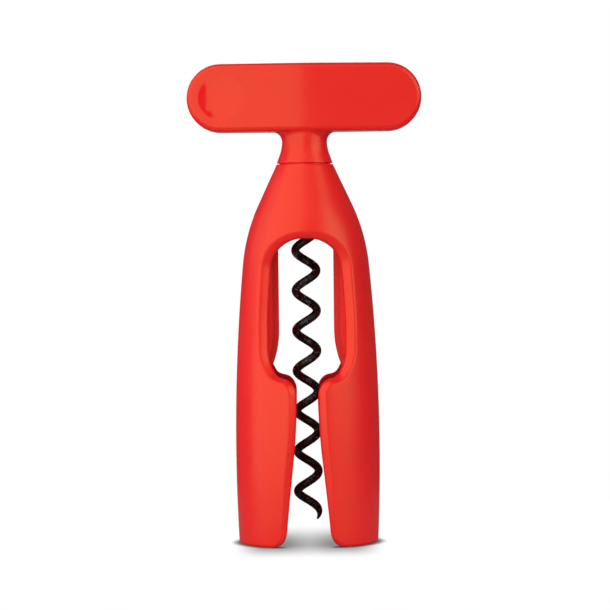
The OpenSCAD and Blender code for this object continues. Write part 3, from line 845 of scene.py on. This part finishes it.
def makeFloor():
    bm = bmesh.new()
    bmesh.ops.create_circle(bm, cap_ends=True, segments=studio["floorSides"], radius=studio["floorRadius"])
    mesh = bpy.data.meshes.new("floor")
    bm.to_mesh(mesh)
    bm.free()
    floor = bpy.data.objects.new("floor", mesh)
    bpy.context.scene.collection.objects.link(floor)
    material, tree, shader = startMaterial("paleFloor")
    shader.inputs["Roughness"].default_value = studio["floorRoughness"]
    shader.inputs["Specular IOR Level"].default_value = 0
    rays = tree.nodes.new("ShaderNodeLightPath").outputs
    looked = joinValues(tree, rays["Is Camera Ray"], rays["Is Glossy Ray"])
    tree.links.new(mixColours(tree, looked, [studio["floorColour"]] * 3, [studio["floorSeen"]] * 3),
                   shader.inputs["Base Color"])
    place = tree.nodes.new("ShaderNodeSeparateXYZ")
    tree.links.new(tree.nodes.new("ShaderNodeTexCoord").outputs["Object"], place.inputs[0])
    x, y = place.outputs["X"], place.outputs["Y"]
    mirrored = joinValues(tree, rays["Is Glossy Ray"], rays["Is Transmission Ray"])
    # painted reflection: a brighter patch of glow left of the front, seen only by glossy and transmission
    # rays, which the left foot mirrors
    left = remap(tree, x, *studio["paintedReflectionAcross"], studio["mirroredShare"], studio["paintedReflectionGlow"])
    paintedReflectionPatch = remap(tree, y, *studio["paintedReflectionFront"], studio["mirroredShare"], left)
    seen = joinValues(tree, rays["Is Camera Ray"], joinValues(tree, mirrored, paintedReflectionPatch, "MULTIPLY"))
    # painted contact shadow: the floor's glow is darkened where the AO node finds the object close by
    sky = openSky(tree, studio["paintedContactReach"])
    paintedContactShade = remap(tree, sky, *studio["paintedContactSky"], studio["paintedContactDark"], studio["floorGlow"],
                    "SMOOTHSTEP")
    # painted shadow: a soft pool of shade under the feet, drawn into the floor's glow from its own x and y,
    # darkest a little off the middle and longer from front to back than across
    aside = tree.nodes.new("ShaderNodeMath")
    aside.operation = "ABSOLUTE"
    tree.links.new(x, aside.inputs[0])
    paintedShadowPool = remap(tree, aside.outputs[0], *studio["paintedShadowAcross"], 0, 1, "SMOOTHSTEP")
    paintedShadowCentreFade = remap(tree, aside.outputs[0], 0, studio["paintedShadowCentreSpan"], studio["paintedShadowCentre"], 1, "SMOOTHSTEP")
    paintedShadowPool = joinValues(tree, paintedShadowPool, paintedShadowCentreFade, "MULTIPLY")
    for end in ("paintedShadowFront", "paintedShadowBack"):
        paintedShadowPool = joinValues(tree, paintedShadowPool, remap(tree, y, *studio[end], 0, 1, "SMOOTHSTEP"), "MULTIPLY")
    shade = joinValues(tree, paintedContactShade, remap(tree, paintedShadowPool, 0, 1, 1, studio["paintedShadowDark"]), "MULTIPLY")
    shader.inputs["Emission Color"].default_value = (1, 1, 1, 1)
    tree.links.new(joinValues(tree, seen, shade, "MULTIPLY"), shader.inputs["Emission Strength"])
    mesh.materials.append(material)


def makeWorld():
    world = bpy.data.worlds.new("studio")
    world.use_nodes = True
    bpy.context.scene.world = world
    tree = world.node_tree
    back = tree.nodes["Background"]
    way = tree.nodes.new("ShaderNodeSeparateXYZ")
    tree.links.new(tree.nodes.new("ShaderNodeTexCoord").outputs["Generated"], way.inputs[0])
    edge = math.cos(math.radians(studio["backdropSpread"]))
    behind = remap(tree, way.outputs["Y"], edge, 1 - (1 - edge) * studio["backdropSoft"], 0, 1)
    rays = tree.nodes.new("ShaderNodeLightPath").outputs
    mirrored = joinValues(tree, rays["Is Glossy Ray"], rays["Is Transmission Ray"])
    mirrored = joinValues(tree, mirrored, behind, "MULTIPLY")
    seen = joinValues(tree, rays["Is Camera Ray"], mirrored)
    strength = remap(tree, seen, 0, 1, studio["worldStrength"], 1.0)
    back.inputs["Color"].default_value = (1, 1, 1, 1)
    tree.links.new(strength, back.inputs["Strength"])


def addSoftbox(name, box):
    # an upright panel, given by the angles that it covers as seen from the object
    first, last = (math.radians(a) for a in box["azimuth"])
    low, high = (studio["lampDistance"] * math.tan(math.radians(a)) for a in box["elevation"])
    middle = (first + last) / 2
    lamp = bpy.data.lights.new(name, "AREA")
    lamp.shape = "RECTANGLE"
    lamp.size = 2 * studio["lampDistance"] * math.tan((last - first) / 2)
    lamp.size_y = high - low
    lamp.energy = math.pi * lamp.size * lamp.size_y * box["radiance"]
    holder = bpy.data.objects.new(name, lamp)
    towards = Vector((math.sin(middle), -math.cos(middle), 0))
    holder.location = towards * studio["lampDistance"] + Vector((0, 0, (low + high) / 2))
    holder.rotation_euler = (-towards).to_track_quat("-Z", "Y").to_euler()
    holder.visible_glossy = box.get("mirrored", True)
    bpy.context.scene.collection.objects.link(holder)


# angles in degrees, from the front to the right and from level upwards
softboxes = {
    "leftBack": {"azimuth": (-125, -98), "elevation": (6, 56), "radiance": 0.56},
    "leftSoftbox": {"azimuth": (-98, -49), "elevation": (-20, 58), "radiance": 1.34},
    "leftFront": {"azimuth": (-49, -2), "elevation": (-18, 18), "radiance": 1.37},
    "leftUpper": {"azimuth": (-49, -7), "elevation": (18, 62), "radiance": 1.3},
    "leftTop": {"azimuth": (-70, -8), "elevation": (62, 80), "radiance": 2.0},
    "frontFill": {"azimuth": (-7, 36), "elevation": (40, 56), "radiance": 0.75},
    "frontLow": {"azimuth": (2, 36), "elevation": (-18, 34), "radiance": 0.02},
    "rightTop": {"azimuth": (42, 75), "elevation": (32, 49), "radiance": 1.9},
    "rightSoftbox": {"azimuth": (36, 88), "elevation": (4, 32), "radiance": 1.98},
    "rightLow": {"azimuth": (36, 76), "elevation": (-2, 4), "radiance": 1.5},
    "leftFill": {"azimuth": (-125, -75), "elevation": (0, 40), "radiance": 0.2, "mirrored": False},
    "rightFill": {"azimuth": (-10, 45), "elevation": (5, 50), "radiance": 0.32, "mirrored": False},
    "floorBounce": {"azimuth": (-45, 35), "elevation": (-30, 5), "radiance": 0.5, "mirrored": False},
    "backFill": {"azimuth": (145, 215), "elevation": (-10, 45), "radiance": 1.25, "mirrored": False},
}


def addCamera():
    camera = bpy.data.cameras.new("camera")
    camera.sensor_width = studio["sensor"]
    camera.lens = studio["sensor"] * studio["distancePixels"] / studio["photoSize"]
    holder = bpy.data.objects.new("camera", camera)
    away = studio["distancePixels"] * studio["millimetrePerPixel"] * mm
    eye = Vector((studio["aimSide"] * mm, -away, studio["eyeHeight"] * mm))
    aim = Vector((studio["aimSide"] * mm, 0, studio["aimHeight"] * mm))
    turn = (aim - eye).to_track_quat("-Z", "Y").to_matrix().to_4x4()
    roll = Matrix.Rotation(math.radians(-studio["rollDegrees"]), 4, "Z")
    holder.matrix_world = Matrix.Translation(eye) @ turn @ roll
    bpy.context.scene.collection.objects.link(holder)
    bpy.context.scene.camera = holder


makeFloor()
makeWorld()
for boxName, box in softboxes.items():
    addSoftbox(boxName, box)
addCamera()
bpy.context.scene.view_settings.view_transform = "Standard"
print("studio: set")
